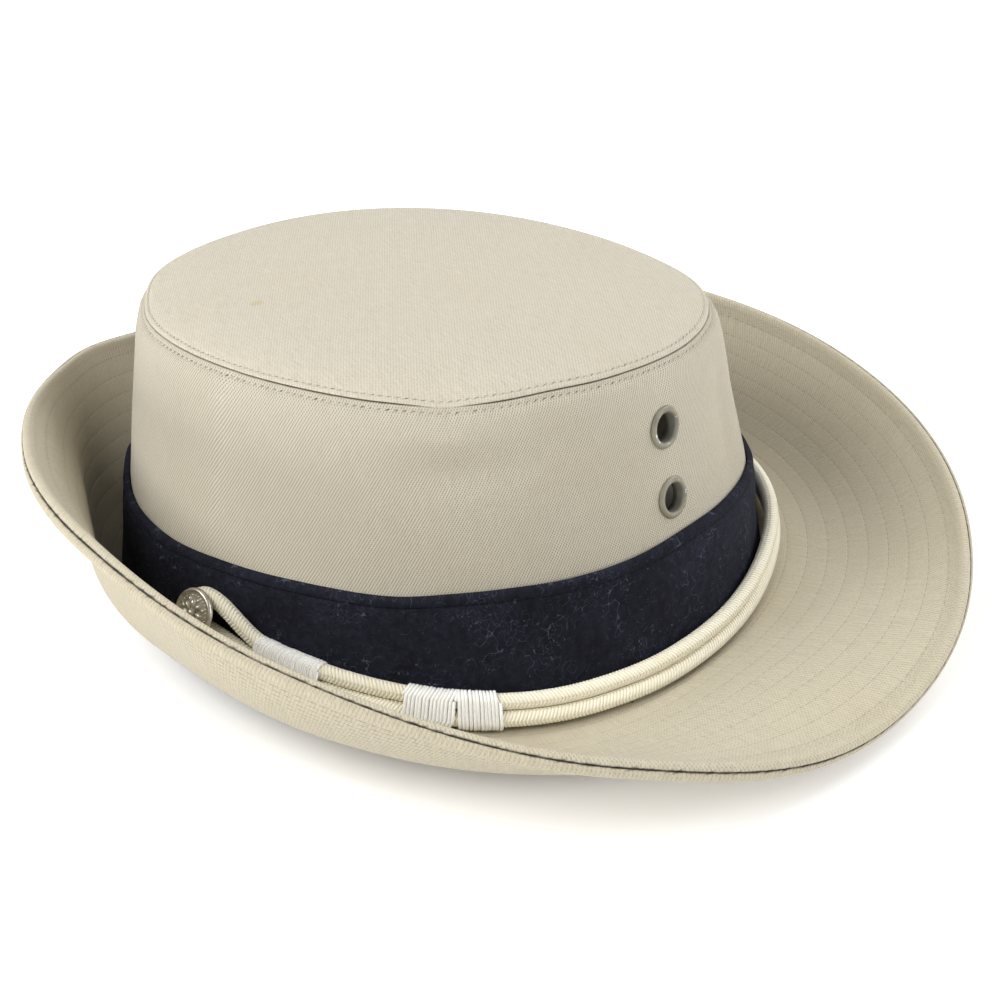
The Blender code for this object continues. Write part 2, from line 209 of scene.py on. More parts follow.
def sidePlace(heading, level, bulge, inset):
    away = outward(heading)
    band = bandOval(heading)
    if level < 0.0:
        place = band + (footOval(heading) - band) * -level
        low = brimTopHeight(heading, -inset, hat["gap"])
        height = hat["bandLineHeight"] + (low - hat["bandLineHeight"]) * -level
    else:
        place = band + (tipOval(heading) - band) * level
        height = hat["bandLineHeight"] + hat["sideHeight"] * level
    place = place + away * (bulge * hat["sideBulge"] - inset)
    return Vector((place.x, place.y, height))


def bandPlace(heading, level, offset):
    place = sidePlace(heading, level, 0.0, -offset)
    low = brimTopHeight(heading, offset, hat["gap"])
    place.z = hat["bandLineHeight"] + (low - hat["bandLineHeight"]) * -level
    return place


# One wrapped socket, so that a pattern reads as arithmetic
class Signal:
    def __init__(self, finish, socket):
        self.finish = finish
        self.socket = socket

    def maths(self, operation, *others):
        sockets = dict(enumerate((self, *others)))
        return self.finish.node("ShaderNodeMath", {"operation": operation}, sockets)

    def swapped(self, operation, other):
        return self.finish.node("ShaderNodeMath", {"operation": operation}, {0: other, 1: self})

    def __add__(self, other):
        return self.maths("ADD", other)

    def __sub__(self, other):
        return self.maths("SUBTRACT", other)

    def __rsub__(self, other):
        return self.swapped("SUBTRACT", other)

    def __mul__(self, other):
        return self.maths("MULTIPLY", other)

    def __truediv__(self, other):
        return self.maths("DIVIDE", other)

    __radd__ = __add__
    __rmul__ = __mul__

    # 0 to 1 and back, once in each pitch
    def wave(self, pitch=1.0):
        return (self * (math.tau / pitch)).maths("COSINE") * -0.5 + 0.5

    def step(self, low, high):
        sockets = {"Value": self, "From Min": low, "From Max": high}
        return self.finish.node("ShaderNodeMapRange", {"interpolation_type": "SMOOTHSTEP"}, sockets)

    def near(self, place, width):
        return 1 - (self - place).maths("ABSOLUTE").step(width * 0.5, width)


# A surface finish: a Principled shader, and one way of making every other node
class Finish:
    def __init__(self, name, **shader):
        self.material = bpy.data.materials.new(name)
        self.material.use_nodes = True
        self.nodes = self.material.node_tree.nodes
        self.links = self.material.node_tree.links
        self.shader = self.nodes["Principled BSDF"]
        self.wear(**shader)

    def feed(self, node, sockets):
        for name, value in sockets.items():
            if isinstance(value, Signal):
                self.links.new(value.socket, node.inputs[name])
            elif value is not None:
                node.inputs[name].default_value = value

    def node(self, kind, settings=None, sockets=None, output=0):
        made = self.nodes.new(kind)
        for name, value in (settings or {}).items():
            setattr(made, name, value)
        self.feed(made, sockets or {})
        return Signal(self, made.outputs[output])

    def cloth(self, layer):
        uv = self.node("ShaderNodeUVMap", {"uv_map": layer})
        first = self.node("ShaderNodeSeparateXYZ", None, {"Vector": uv})
        return first, Signal(self, first.socket.node.outputs["Y"]), uv

    def joined(self, x, y):
        return self.node("ShaderNodeCombineXYZ", None, {"X": x, "Y": y})

    def noise(self, vector, scale, detail=2.0, roughness=0.5):
        sockets = {"Vector": vector, "Scale": scale, "Detail": detail, "Roughness": roughness}
        return self.node("ShaderNodeTexNoise", None, sockets, "Fac")

    def blend(self, amount, first, second, how="MIX"):
        settings = {"data_type": "RGBA", "blend_type": how}
        colours = [(*value, 1.0) if isinstance(value, tuple) else value for value in (first, second)]
        return self.node("ShaderNodeMix", settings, {0: amount, 6: colours[0], 7: colours[1]}, 2)

    def bump(self, height, distance, strength=1.0):
        sockets = {"Height": height, "Distance": distance, "Strength": strength}
        return self.node("ShaderNodeBump", None, sockets, "Normal")

    def wear(self, **sockets):
        named = {name.replace("_", " "): value for name, value in sockets.items()}
        named = {name: (*value, 1.0) if isinstance(value, tuple) else value for name, value in named.items()}
        self.feed(self.shader, named)
        return self.material


def keepPiece(name, bm, finish, nodes):
    bmesh.ops.transform(bm, matrix=Matrix.Translation(hat["shift"]), verts=bm.verts)
    mesh = bpy.data.meshes.new(name)
    bm.to_mesh(mesh)
    bm.free()
    mesh.shade_smooth()
    mesh.materials.append(finish)
    piece = bpy.data.objects.new(name, mesh)
    bpy.context.scene.collection.objects.link(piece)
    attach(piece, "root")
    if nodes:
        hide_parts(*nodes)
    print(name, "made with", len(mesh.polygons), "faces")
    return piece


# A cloth piece: a grid wrapped round the hat one way and round the cloth's own section the other
def wrapCloth(rows, place, flat, around, runStart=180.0):
    bm = bmesh.new()
    weave = bm.loops.layers.uv.new("weave")
    run = bm.loops.layers.uv.new("run")
    count = len(rows) - 1
    bmesh.ops.create_grid(bm, x_segments=around, y_segments=count, size=1.0)
    spots = {}
    for vert in bm.verts:
        spots[vert] = (round((vert.co.x + 1) / 2 * around), round((vert.co.y + 1) / 2 * count))
    headings = [runStart + 360.0 * column / around for column in range(around + 1)]
    for vert, (column, row) in spots.items():
        vert.co = place(headings[column], *rows[row])
    grid = {spot: vert for vert, spot in spots.items()}
    lengths = []
    for row in range(count + 1):
        total = [0.0]
        for column in range(around):
            total.append(total[-1] + (grid[column + 1, row].co - grid[column, row].co).length)
        lengths.append(total)
    flats = {spot: flat(headings[spot[0]], *rows[spot[1]]) for spot in grid}
    for face in bm.faces:
        for loop in face.loops:
            spot = spots[loop.vert]
            loop[weave].uv = flats[spot]
            loop[run].uv = (lengths[spot[1]][spot[0]], rows[spot[1]][0])
    bmesh.ops.remove_doubles(bm, verts=bm.verts, dist=0.004 * mm)
    bmesh.ops.dissolve_degenerate(bm, dist=0.001 * mm, edges=bm.edges)
    bmesh.ops.recalc_face_normals(bm, faces=bm.faces)
    return bm


# turns the run map's share of the way across into a length from one edge
def measureRun(bm, edge, size):
    run = bm.loops.layers.uv["run"]
    for face in bm.faces:
        for loop in face.loops:
            loop[run].uv.y = (edge - loop[run].uv.y) * size


# A round bar along a path; its run map has the length along it and the turn round it
def wrapBar(bm, path, radius, sides, relief=None):
    run = bm.loops.layers.uv.get("run") or bm.loops.layers.uv.new("run")
    count = len(path) - 1
    made = bmesh.ops.create_grid(bm, x_segments=count, y_segments=sides, size=1.0)["verts"]
    normal = Vector((0.0, 0.0, 1.0))
    rings, total, lengths = [], 0.0, []
    for number, point in enumerate(path):
        along = (path[min(number + 1, count)] - path[max(number - 1, 0)]).normalized()
        normal = (normal - along * normal.dot(along)).normalized()
        rings.append((point, normal.copy(), along.cross(normal)))
        total += (point - path[max(number - 1, 0)]).length
        lengths.append(total)
    spots = {}
    for vert in made:
        column = round((vert.co.x + 1) / 2 * count)
        side = round((vert.co.y + 1) / 2 * sides)
        spots[vert] = (column, side)
        centre, up, across = rings[column]
        angle = math.tau * side / sides
        size = radius + relief(lengths[column], side / sides) if relief else radius
        vert.co = centre + (up * math.cos(angle) + across * math.sin(angle)) * size
    for face in {face for vert in made for face in vert.link_faces}:
        for loop in face.loops:
            column, side = spots[loop.vert]
            loop[run].uv = (lengths[column], side / sides)
    seam = [vert for vert, (column, side) in spots.items() if side in (0, sides)]
    bmesh.ops.remove_doubles(bm, verts=seam, dist=0.0005 * mm)
    return total


def closeEnds(bm):
    bmesh.ops.holes_fill(bm, edges=[edge for edge in bm.edges if edge.is_boundary], sides=0)
    bmesh.ops.recalc_face_normals(bm, faces=bm.faces)


# Camera at the photograph's angle, and its light
view = {
    "azimuth": -45.29,
    "elevation": 24.02,
    "distance": 543.92 * mm,
    "focal": 1756.88,
    "target": (439.91, 417.82),
    "roll": -2.79,
    "height": 50.0 * mm,
}


def placeCamera():
    a, e, roll = (math.radians(view[name]) for name in ("azimuth", "elevation", "roll"))
    back = Vector((math.sin(a) * math.cos(e), -math.cos(a) * math.cos(e), math.sin(e)))
    right = (-back).cross(Vector((0, 0, 1))).normalized()
    up = right.cross(-back)
    yaw = math.atan2(view["target"][0] - 500, view["focal"])
    pitch = math.atan2(view["target"][1] - 500, view["focal"])
    ahead = -back * math.cos(yaw) - right * math.sin(yaw)
    right = right * math.cos(yaw) - back * math.sin(yaw)
    ahead, up = ahead * math.cos(pitch) + up * math.sin(pitch), up * math.cos(pitch) - ahead * math.sin(pitch)
    right, up = right * math.cos(roll) + up * math.sin(roll), up * math.cos(roll) - right * math.sin(roll)
    data = bpy.data.cameras.new("camera")
    data.sensor_width = 36.0
    data.lens = 36.0 * view["focal"] / 1000.0
    camera = bpy.data.objects.new("camera", data)
    matrix = Matrix((right, up, -ahead)).transposed().to_4x4()
    matrix.translation = Vector((0, 0, view["height"])) + hat["shift"] + back * view["distance"]
    camera.matrix_world = matrix
    bpy.context.scene.collection.objects.link(camera)
    bpy.context.scene.camera = camera


studio = {
    "floorSize": 8.0,
    "floorColour": (0.9, 0.9, 0.9),
    "floorGlow": 0.85,
    "glowNear": 0.3,
    "hidden": (0.10, 0.13),
    "glowFrom": 0.2,
    "glowTo": 0.6,
    "world": 0.34,
    # place, size across and power of each soft lamp
    "lamps": {
        "left": ((-1.2, 0.15, 0.95), 0.9, 15.2),
        "back": ((-0.9, 0.8, 1.1), 0.9, 11.7),
        "front": ((0.6, -1.25, 0.8), 0.9, 8.6),
        "right": ((1.25, -0.3, 0.9), 0.9, 12.0),
    },
}


def lightStudio():
    bm = bmesh.new()
    bmesh.ops.create_grid(bm, x_segments=1, y_segments=1, size=studio["floorSize"] / 2)
    mesh = bpy.data.meshes.new("floor")
    bm.to_mesh(mesh)
    bm.free()
    floor = bpy.data.objects.new("floor", mesh)
    bpy.context.scene.collection.objects.link(floor)
    # the paper glows less round the hat, so that its hollow and bores stay dark
    paper = Finish("paleFloor", Base_Color=studio["floorColour"], Roughness=0.9)
    paper.wear(Emission_Strength=studio["floorGlow"])
    spot = paper.node("ShaderNodeTexCoord", None, None, "Object")
    away = paper.node("ShaderNodeVectorMath", {"operation": "LENGTH"}, {0: spot}, "Value")
    under = away.step(*studio["hidden"]) * studio["glowNear"]
    glow = away.step(studio["glowFrom"], studio["glowTo"]) * (1 - studio["glowNear"]) + under
    grey = paper.node("ShaderNodeCombineColor", None, {0: glow, 1: glow, 2: glow})
    mesh.materials.append(paper.wear(Emission_Color=grey))
    world = bpy.data.worlds.new("studio")
    bpy.context.scene.world = world
    world.use_nodes = True
    world.node_tree.nodes["Background"].inputs["Color"].default_value = (1.0, 1.0, 1.0, 1.0)
    world.node_tree.nodes["Background"].inputs["Strength"].default_value = studio["world"]
    for name, (spot, size, power) in studio["lamps"].items():
        lamp = bpy.data.lights.new(name, "AREA")
        lamp.size = size
        lamp.energy = power
        light = bpy.data.objects.new(name, lamp)
        spot = Vector(spot)
        aim = (Vector((0.0, 0.0, 0.05)) - spot).to_track_quat("-Z", "Y")
        light.matrix_world = Matrix.Translation(spot) @ aim.to_matrix().to_4x4()
        bpy.context.scene.collection.objects.link(light)
    bpy.context.scene.view_settings.view_transform = "Standard"


placeCamera()
lightStudio()
print("camera and light placed")


# Khaki cotton twill, warp over two wefts and under one, with its slubs, soft soiling and rows of stitches,
# and painted shade in the weave's gaps, the stitch holes, the quilting rows and the rim's groove
twill = {
    "warp": 0.30 * mm,
    "weft": 0.52 * mm,
    "repeat": 3.0,
    "light": (0.62, 0.575, 0.475),
    "dark": (0.27, 0.235, 0.17),
    "soil": (0.86, 0.82, 0.72),
    "thread": (0.66, 0.61, 0.50),
    # painted shade: the near-black colour put into stitch holes, along the quilting rows and in the rim's
    # groove
    "recessShade": (0.05, 0.038, 0.028),
}


# weave is how boldly the weave shows, in its painted shade and its bump; seams are the places of rows of
# stitches across the run map; quilt holds many rows, from its first place inwards
def khakiTwill(name, weave=1.0, seams=(), pitch=2.3 * mm, quilt=None, tint=None, rim=None, marks=()):
    finish = Finish(name, Roughness=0.92, Sheen_Weight=0.08, Sheen_Roughness=0.45)
    x, y, uv = finish.cloth("weave")
    wander = (finish.noise(uv, 110.0, 2.0) - 0.5) * (0.9 * mm)
    across, up = (x + wander) / twill["warp"], (y + wander) / twill["weft"]
    end = across.maths("FLOOR")
    turn = ((up - end) / twill["repeat"]).maths("FRACT")
    over = turn.step(0.0, 0.26) * (1 - turn.step(0.72, 1.0))
    warp = over * (across.wave() * 0.55 + 0.45)
    yarn = finish.noise(finish.joined(x * 2400.0, y * 180.0), 1.0, 1.0)
    cloud = finish.noise(uv, 26.0, 5.0, 0.6)
    grain = finish.noise(uv, 1300.0, 2.0, 0.7)
    # painted shade: the gaps between the warp floats are coloured darker, standing in for the weave's own
    # shadows; the yarn, grain and cloud terms are tone that differs at random
    shade = (warp - 0.45) * weave + (yarn - 0.5) * 0.45 + (grain - 0.5) * 0.5 + (cloud - 0.5) * 0.2 + 0.66
    colour = finish.blend(shade.step(-0.1, 1.1), twill["dark"], twill["light"])
    colour = finish.blend(cloud.step(0.40, 0.75) * 0.3, colour, twill["soil"], "MULTIPLY")
    if tint:
        colour = finish.blend(1.0, colour, tint, "MULTIPLY")
    height = warp * (0.5 + 0.5 * weave) + grain * 0.3
    u, v, run = finish.cloth("run")
    if quilt:
        count = (quilt["first"] - v) / quilt["pitch"]
        line = (count + 0.5).maths("FLOOR")
        inside = count.step(-0.5, -0.45) * (1 - count.step(quilt["rows"] - 0.5, quilt["rows"] - 0.45))
        apart = (count - line).maths("ABSOLUTE") * (quilt["pitch"] / mm)
        shake = finish.noise(finish.joined(u * 120.0, line * 7.0), 1.0)
        beat = (u / quilt["stitch"] + line * 0.5 + shake * 1.2).maths("FRACT")
        dash = beat.step(0.0, 0.08) * (1 - beat.step(0.52, 0.60)) * inside
        thin = 1 - apart.step(0.06, 0.24)
        below = (count - line + 0.22 / (quilt["pitch"] / mm)).maths("ABSOLUTE") * (quilt["pitch"] / mm)
        colour = finish.blend((1 - below.step(0.05, 0.30)) * dash * quilt["light"], colour, twill["thread"])
        # painted shade: a dark line along each quilting row, darkest at the stitches
        colour = finish.blend(thin * (dash * 0.8 + 0.2) * inside * quilt["dark"], colour, twill["recessShade"])
        height = height - (1 - apart.step(0.0, 0.8)) * inside * quilt["dip"]
    for place in seams:
        apart = (v - place).maths("ABSOLUTE") / mm
        beat = (u / pitch + finish.noise(run, 160.0) * 0.25).maths("FRACT")
        # painted shade: the stitch holes along the seam row are darkened, broken along the row
        recessShade = (1 - apart.step(0.08, 0.28)) * (1 - beat.near(0.5, 0.46))
        colour = finish.blend(recessShade * finish.noise(run, 700.0).step(0.25, 0.7), colour, twill["recessShade"])
        height = height - (1 - apart.step(0.0, 0.6)) * 0.7 - recessShade * 1.6
    if quilt and quilt["ripple"]:
        hem = v.near(quilt["first"] + 1.6 * mm, 2.6 * mm)
        height = height + hem * (u / quilt["ripple"] + finish.noise(run, 120.0)).wave() * 1.3
    # painted shade: the groove where the brim's two layers meet at the rim is darkened, broken along its
    # length
    if rim:
        broken = finish.noise(run, 260.0, 3.0).step(0.25, 0.6) * 0.6 + 0.4
        lip = y + (finish.noise(run, 500.0, 2.0) - 0.5) * (1.4 * mm)
        colour = finish.blend(lip.step(*rim) * broken, colour, twill["recessShade"])
    for shade, spot, size in marks:
        sockets = {0: uv, 1: (*spot, 0.0)}
        away = finish.node("ShaderNodeVectorMath", {"operation": "DISTANCE"}, sockets, "Value")
        colour = finish.blend(1 - away.step(size * 0.4, size), colour, shade, "MULTIPLY")
    return finish.wear(Base_Color=colour, Normal=finish.bump(height, 0.14 * mm, 0.8))


brim = {
    "around": 480,
    "perDegree": 2.25 * mm,
    "steep": 0.62,
    "quiltPitch": 6.3 * mm,
    "quiltEdge": 6.0 * mm,
    "grooveWidth": 0.7 * mm,
    "grooveDepth": 0.05 * mm,
    "puff": 0.05 * mm,
    "hem": 3.1 * mm,
    "hemRoll": 0.22 * mm,
    "edgeRound": 1.3 * mm,
    "seamSquare": 0.42,
    "seamClose": 0.10 * mm,
    # how much thinner the turned-up side's cloth is than its solid, and between which headings
    "thin": 0.66,
    "thinFrom": (215.0, 240.0),
    "thinTo": (322.0, 344.0),
    "waver": 0.30 * mm,
}


# the weave follows the rim round, its ends standing across it
def flatBrim(heading, distance, lift, side, spread):
    return (heading - 180.0) * brim["perDegree"], spread * brim["steep"]


@cache
def quiltPuff(distance):
    hem = hat["brimWidth"] - brim["hem"]
    hemRoll = brim["hemRoll"] * ease(distance, hem, hem + 0.8 * mm)
    toLine = (hat["brimWidth"] - brim["quiltEdge"] - distance) / brim["quiltPitch"]
    if toLine < -0.2:
        return hemRoll
    away = abs(toLine - round(toLine)) * brim["quiltPitch"]
    groove = bell(away, 0.0, brim["grooveWidth"]) * brim["grooveDepth"]
    return brim["puff"] * min(1.0, away / brim["quiltPitch"] * 2) ** 0.5 - groove


def brimStops():
    line = hat["brimWidth"] - brim["quiltEdge"]
    edge = hat["brimWidth"]
    stops = [-hat["crownCloth"], 0.0, edge - brim["edgeRound"]]
    stops += [edge - step * mm for step in (1.7, 2.3, 2.7, 3.1, 4.0)]
    while line > 0.0:
        beside = [line + step * mm for step in (0.9, 0.4, 0.0, -0.4, -0.9, -2.2, -3.4, -4.5)]
        stops += [stop for stop in beside if stop > 0.0]
        line -= brim["quiltPitch"]
    return sorted(stops)


@cache
def brimWaver(heading, distance):
    angle = math.radians(heading)
    spot = Vector((math.cos(angle) * 3.1, math.sin(angle) * 3.1, distance * 18.0))
    return noise.noise(spot) * brim["waver"] * ease(distance, 10 * mm, hat["brimWidth"])


def brimCloth(heading, distance, lift, side, spread):
    puffed = lift + side * quiltPuff(distance)
    if lift < 0.0:
        window = ease(heading % 360.0, *brim["thinFrom"]) * (1 - ease(heading % 360.0, *brim["thinTo"]))
        hem = hat["brimWidth"] - brim["hem"]
        body = 1 - ease(distance, hem - 1.2 * mm, hem + 0.4 * mm)
        puffed *= 1 - brim["thin"] * window * body
    reach, height, here = brimSection(heading, distance, puffed)
    place = footOval(heading) + outward(heading) * reach
    waver = brimWaver(heading, distance) * min(1.0, height / (6 * mm))
    return Vector((place.x, place.y, max(0.0, height + waver)))


def makeBrim(name, node, low, high, topSide, finish):
    middle, thick = (low + high) / 2, (high - low) / 2
    start = hat["brimWidth"] - brim["edgeRound"]
    face, back = (high, low) if topSide else (low, high)
    outside = 1.0 if topSide else -1.0
    rows = [(stop, face, outside, stop) for stop in brimStops()]
    for angle in (75, 60, 45, 30, 15, 0, -15, -30, -45, -60, -75):
        turn = math.radians(angle)
        square = 1.0 if angle > 0 else brim["seamSquare"]
        more = brim["hemRoll"] if angle > 0 else brim["seamClose"]
        roll = math.copysign(abs(math.sin(turn)) ** square, turn) * (thick + more * abs(math.sin(turn)))
        distance = start + brim["edgeRound"] * math.cos(turn) ** square
        rows.append((distance, middle + outside * roll, 0.0, start + brim["edgeRound"] * (1.57 - turn)))
    close = outside * -brim["seamClose"]
    rows += [(start - 0.6 * mm, back + close, 0.0, start), (start - 3.0 * mm, back, 0.0, start - 3.0 * mm)]
    inwards = [*reversed(spaced(0.0, start - 5.0 * mm, 11)), -hat["crownCloth"]]
    rows += [(stop, back, 0.0, stop) for stop in inwards]
    rows.append(rows[0])
    bm = wrapCloth(rows, brimCloth, flatBrim, brim["around"])
    return keepPiece(name, bm, finish, [node])


# The crown's side and tip, with the seam's felled ridge, its hollows and the dent at the front
crown = {
    "around": 480,
    "perDegree": 1.60 * mm,
    # cosine and sine of the tip's weave against the hat's diagonal
    "tipWeave": (0.87, 0.5),
    "ridge": 0.32 * mm,
    "ridgeWidth": 2.2 * mm,
    "stitchOff": 1.05 * mm,
    "tipStitchOff": 1.25 * mm,
    "stitchPitch": 2.3 * mm,
    "seamRoll": 0.3 * mm,
    "tipRoll": 0.32 * mm,
    "tipFall": 1.1 * mm,
    "tipFallWidth": 4.6 * mm,
    "seamClose": 0.2 * mm,
    # heading, level, width in degrees, width in level, depth
    "dents": (
        (318, 0.66, 13, 0.10, -1.1 * mm),
        (312, 0.86, 9, 0.07, 0.55 * mm),
        (333, 0.80, 9, 0.12, -0.5 * mm),
        (290, 0.70, 12, 0.20, 0.5 * mm),
        (21, 0.42, 4.5, 0.34, -1.2 * mm),
        (28, 0.60, 5, 0.30, 0.7 * mm),
        (50, 0.72, 12, 0.20, 0.6 * mm),
        (8, 0.30, 10, 0.20, 0.4 * mm),
        (262, 0.45, 10, 0.3, -0.5 * mm),
        (120, 0.5, 14, 0.3, -0.8 * mm),
        (190, 0.6, 16, 0.3, -0.7 * mm),
    ),
    # the seam stands higher than its level here: heading, width, rise
    "seamLifts": (
        (336, 11, 1.5 * mm), (352, 10, 0.9 * mm), (312, 9, -0.25 * mm), (285, 12, 0.4 * mm),
        (226, 14, -0.9 * mm), (62, 22, -1.2 * mm), (313, 3.5, -0.35 * mm),
    ),
    # the seam stands further out than its oval: heading, width, push
    "seamPushes": ((226, 15, -1.2 * mm), (55, 16, 0.8 * mm)),
    "sideRows": ((0.0, 0.0), (0.5, 0.4), (0.86, 0.95), (0.96, 0.75), (1.0, 0.0)),
    "tipRows": ((0.0, 1.0), (0.28, 1.0), (0.55, 0.93), (0.8, 0.72), (0.93, 0.35), (1.0, 0.0)),
}


@cache
def seamLift(heading):
    return bumps(crown["seamLifts"], heading)


@cache
def seamPush(heading):
    return bumps(crown["seamPushes"], heading)


@cache
def smoothBulge(level):
    return smoothed(crown["sideRows"], level, 0.03)


def sideCloth(heading, level, inset):
    bulge = smoothBulge(level) * ease(1.0 - level, -0.02, 0.06) if level > 0.0 else 0.0
    place = sidePlace(heading, level, bulge, inset)
    if level <= 0.0:
        return place
    push = seamPush(heading) * ease(level, 0.35, 1.0)
    for middle, high, width, tall, depth in crown["dents"]:
        push += turnBell(heading, middle, width) * bell(level, high, tall) * depth
    fromSeam = (1.0 - level) * hat["sideHeight"]
    if inset == 0.0:
        push += crown["ridge"] * (1 - ease(fromSeam, crown["ridgeWidth"] * 0.8, crown["ridgeWidth"] * 1.4))
        push -= 0.15 * mm * bell(fromSeam, crown["stitchOff"], 0.4 * mm)
        place.z += crown["seamClose"] * (1 - ease(fromSeam, 0.0, 1.5 * mm))
        push -= rollFall(fromSeam, crown["seamRoll"])
    angle = math.radians(heading)
    pucker = noise.noise(Vector((math.sin(angle) * 30, math.cos(angle) * 30, level * 3.0)))
    push += pucker * 0.16 * mm * bell(fromSeam, 3 * mm, 5 * mm)
    away = outward(heading)
    place.z += seamLift(heading) * ease(level, 0.3, 1.0)
    return place + Vector((away.x, away.y, 0.0)) * push


def sideFlat(heading, level, inset):
    return (heading - 180.0) * crown["perDegree"], level * hat["sideHeight"]


def makeCrownSide(finish):
    offs = (0.0, 0.05, 0.15, 0.3, 0.5, 0.75, 1.05, 1.4, 1.8, 2.3, 2.9, 3.5, 4.2, 5.0)
    near = [1.0 - off * mm / hat["sideHeight"] for off in offs]
    levels = spaced(-1.0, 0.0, 8) + spaced(0.0, near[-1], 50)[1:-1] + near[::-1]
    rows = [(level, 0.0) for level in levels]
    rows += [(level, hat["crownCloth"]) for level in reversed(spaced(-1.0, 1.0, 14))]
    rows.append(rows[0])
    bm = wrapCloth(rows, sideCloth, sideFlat, crown["around"])
    measureRun(bm, 1.0, hat["sideHeight"])
    return keepPiece("crownSide", bm, finish, ["crown_side"])


def tipCloth(heading, share, lift):
    centre = Vector((0.0, hat["tipShift"]))
    edge = tipOval(heading) - centre
    place = centre + edge * share + outward(heading) * (seamPush(heading) * ease(share, 0.6, 1.0))
    rise = smoothed(crown["tipRows"], share, 0.04)
    height = hat["bandLineHeight"] + hat["sideHeight"] + hat["gap"] + hat["domeRise"] * rise + lift
    if lift > 0.0:
        fromSeam = edge.length * (1.0 - share)
        height -= crown["tipFall"] * max(0.0, 1 - fromSeam / crown["tipFallWidth"]) ** 2
        height -= rollFall(fromSeam, crown["tipRoll"])
        height -= 0.12 * mm * bell(fromSeam, crown["tipStitchOff"], 0.4 * mm)
        swell = noise.noise(Vector((place.x * 28.0, place.y * 28.0, 0.0)))
        height += swell * 0.5 * mm * ease(fromSeam, 0.0, 20 * mm)
    pinch = turnBell(heading, 313, 6) * bell(share, 1.0, 0.10) * -0.5 * mm
    return Vector((place.x, place.y, height + pinch + seamLift(heading) * ease(share, 0.6, 1.0)))


def tipFlat(heading, share, lift):
    place = tipCloth(heading, share, 0.0)
    diagonal = 0.7071
    p, q = (place.x - place.y) * diagonal, (place.x + place.y) * diagonal
    cosine, sine = crown["tipWeave"]
    return p * cosine + q * sine, q * cosine - p * sine


def makeCrownTip(finish):
    reach = (hat["tip"][0] + hat["tip"][1]) / 2
    offs = (0.0, 0.05, 0.15, 0.32, 0.55, 0.8, 1.05, 1.25, 1.5, 1.9, 2.5, 3.2, 4.2)
    near = [1.0 - off * mm / reach for off in offs]
    shares = [0.0, *spaced(0.02, near[-1], 34)[:-1], *near[::-1]]
    rows = [(share, 0.0) for share in (0.0, 0.3, 0.6, 0.8, 0.93, 1.0)]
    rows += [(share, hat["tipCloth"]) for share in reversed(shares)]
    bm = wrapCloth(rows, tipCloth, tipFlat, crown["around"])
    measureRun(bm, 1.0, reach)
    return keepPiece("crownTip", bm, finish, ["crown_tip"])


# Navy wool band: a felted face, a folded top edge with its line of stitches, lint and loose hairs
band = {
    "around": 480,
    "perDegree": 1.62 * mm,
    "tall": 30.0 * mm,
    "fold": 2.4 * mm,
    "deep": (0.004, 0.0042, 0.008),
    "bloom": (0.0145, 0.016, 0.028),
    "lint": (0.16, 0.19, 0.28),
    "hairs": 2600,
    # the top edge stands higher than its line: heading, width, rise
    "lifts": (
        (225, 9, 4.0 * mm), (286, 16, 1.4 * mm), (322, 16, 1.3 * mm), (4, 20, 1.6 * mm), (47, 13, -4.0 * mm),
    ),
    "thinnest": (42, 22, 1.1 * mm),
}


def navyWool(name):
    finish = Finish(name, Roughness=0.95, Specular_IOR_Level=0.2, Sheen_Weight=0.02, Sheen_Roughness=0.6)
    finish.wear(Sheen_Tint=(0.25, 0.30, 0.5))
    x, y, uv = finish.cloth("weave")
    u, v = finish.cloth("run")[:2]
    felt = finish.noise(uv, 420.0, 5.0, 0.75)
    cloud = finish.noise(uv, 70.0, 4.0, 0.6)
    colour = finish.blend((felt * 0.7 + cloud * 0.5).step(0.42, 0.82), band["deep"], band["bloom"])
    for scale, shift in ((260.0, 0.0), (420.0, 5.0)):
        curl = finish.noise(finish.joined(x + shift, y), scale, 1.0)
        place = finish.noise(finish.joined(x + shift + 2.0, y), 60.0, 2.0)
        hair = curl.near(0.5, 0.008) * place.step(0.45, 0.65)
        colour = finish.blend(hair * 0.3, colour, band["lint"])
    dust = finish.noise(uv, 1500.0, 1.0).step(0.78, 0.84)
    colour = finish.blend(dust * 0.5, colour, (0.35, 0.37, 0.42))
    apart = (v - band["fold"]).maths("ABSOLUTE") / mm
    line = 1 - apart.step(0.0, 0.45)
    height = felt * 1.2 - line * (1.2 + (u / (2.6 * mm)).wave() * 0.8)
    # painted shade: the groove along the fold's line of stitches is darkened
    colour = finish.blend(line * 0.35, colour, (0.002, 0.002, 0.004))
    return finish.wear(Base_Color=colour, Normal=finish.bump(height, 0.28 * mm, 0.9))


def bandCloth(heading, level, offset, side):
    tall = hat["bandLineHeight"] - bandPlace(heading, -1.0, offset).z
    place = bandPlace(heading, level + bumps(band["lifts"], heading) / tall * max(0.0, 1 + level), offset)
    fromTop = -level * tall
    push = 0.0
    if side:
        push = 0.22 * mm * (1 - ease(fromTop, band["fold"] * 0.7, band["fold"] * 1.3))
        push -= 0.25 * mm * bell(fromTop, band["fold"], 0.6 * mm)
        wave = noise.noise(Vector((heading * 0.16, level * 2.2, 0.0)))
        push += wave * 0.35 * mm * ease(fromTop, 2 * mm, 8 * mm)
        middle, width, depth = band["thinnest"]
        push -= depth * turnBell(heading, middle, width) * ease(-level, 0.2, 0.7)
    place.z += noise.noise(Vector((heading * 0.09, 7.0, 0.0))) * 0.35 * mm * (1 + level)
    away = outward(heading)
    return place + Vector((away.x, away.y, 0.0)) * push


